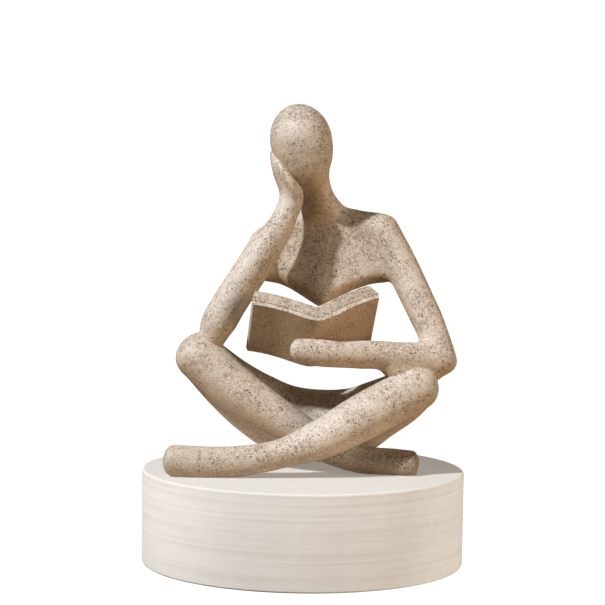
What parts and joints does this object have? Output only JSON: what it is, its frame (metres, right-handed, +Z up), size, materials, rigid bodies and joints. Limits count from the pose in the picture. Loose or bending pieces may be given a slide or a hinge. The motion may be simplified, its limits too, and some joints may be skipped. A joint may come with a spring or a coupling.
{
  "type": "seated reader figurine",
  "caption": "Decorative figurine of a slender faceless figure sitting cross-legged, cheek propped on a hand and an open book held low, resting on a round white plinth.",
  "frame": {"origin": "centre of the plinth's underside", "axes": "+Z up, the figure looks along -Y, +X to the viewer's right"},
  "size_m": [0.155, 0.155, 0.2203],
  "materials": {
    "sand_resin": "sandstone-look cast resin, warm beige with fine dark brown and grey specks, satin",
    "white_plaster": "matte off-white plaster with faint horizontal brush streaks on the side and a smooth top"
  },
  "bodies": {
    "root": {"plinth": "white_plaster", "reader_figure": "sand_resin"}
  },
  "joints": []
}
